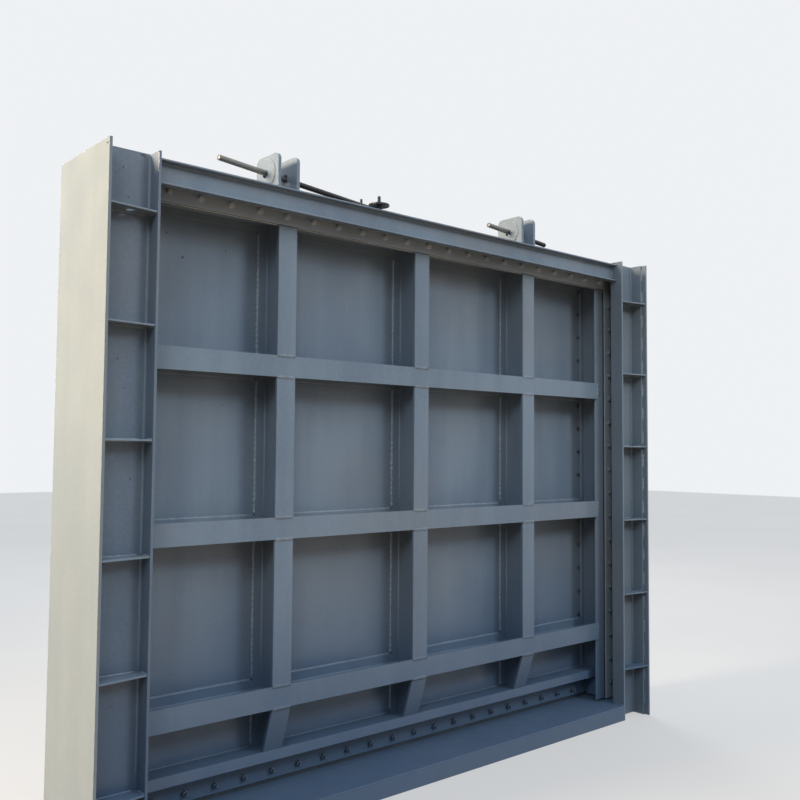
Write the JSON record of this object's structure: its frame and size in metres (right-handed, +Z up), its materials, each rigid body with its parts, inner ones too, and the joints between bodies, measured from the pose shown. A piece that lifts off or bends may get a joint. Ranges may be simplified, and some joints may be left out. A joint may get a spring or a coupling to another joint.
{
  "type": "vertical-lift sluice gate",
  "caption": "Welded steel sluice gate: a ribbed leaf with rubber seals and lifting lugs slides up in a guide frame with lintel and sill.",
  "frame": {"origin": "bottom centre of the guide frame, half-way through its depth", "axes": "+X across the waterway, +Y upstream (skin plate side), +Z up; the open ribbed side faces -Y"},
  "size_m": [3.606, 0.5, 3.05],
  "materials": {
    "gate_paint": "satin blue-grey coating over welded steel",
    "seal_rubber": "black moulded rubber",
    "seat_steel": "ground stainless steel",
    "slide_block": "dark self-lubricating slide material",
    "dark_steel": "bare rolled steel, weathered"
  },
  "bodies": {
    "frame": {"side_plate_left": "gate_paint", "side_plate_right": "gate_paint", "front_channel_left": "gate_paint", "front_channel_right": "gate_paint", "rear_channel_left": "gate_paint", "rear_channel_right": "gate_paint", "front_ribs_left": "gate_paint", "front_ribs_right": "gate_paint", "rear_ribs_left": "gate_paint", "rear_ribs_right": "gate_paint", "lintel_front": "gate_paint", "lintel_rear": "gate_paint", "sill_plate": "gate_paint", "sill_channel_front": "gate_paint", "sill_channel_rear": "gate_paint", "lintel_clamp": "dark_steel", "seal_seat_left": "seat_steel", "seal_seat_right": "seat_steel", "seal_seat_top": "seat_steel"},
    "leaf": {"skin_plate": "gate_paint", "top_beam": "gate_paint", "upper_beam": "gate_paint", "middle_beam": "gate_paint", "lower_beam": "gate_paint", "bottom_beam": "gate_paint", "rib_left": "gate_paint", "rib_centre": "gate_paint", "rib_right": "gate_paint", "edge_beam_left": "gate_paint", "edge_beam_right": "gate_paint", "seal_bar_top": "gate_paint", "seal_bar_bottom": "gate_paint", "seal_bar_left": "gate_paint", "seal_bar_right": "gate_paint", "lug_left": "gate_paint", "lug_right": "gate_paint", "seal_top": "seal_rubber", "seal_bottom": "seal_rubber", "seal_left": "seal_rubber", "seal_right": "seal_rubber", "main_slides_left": "slide_block", "main_slides_right": "slide_block", "rear_slide_left": "slide_block", "rear_slide_right": "slide_block"},
    "left_rod": {"rod_left": "dark_steel"},
    "right_rod": {"rod_right": "dark_steel"}
  },
  "joints": [
    {"name": "leaf_lift", "type": "slide", "parent": "frame", "child": "leaf", "axis": [0, 0, 1], "range_m": [0, 2.4]},
    {"name": "left_rod_slide", "type": "slide", "parent": "leaf", "child": "left_rod", "axis": [-0.9966, 0, 0.0829], "range_m": [0, 0.5]},
    {"name": "right_rod_slide", "type": "slide", "parent": "leaf", "child": "right_rod", "axis": [-0.9966, 0, 0.0829], "range_m": [0, 0.2]}
  ]
}
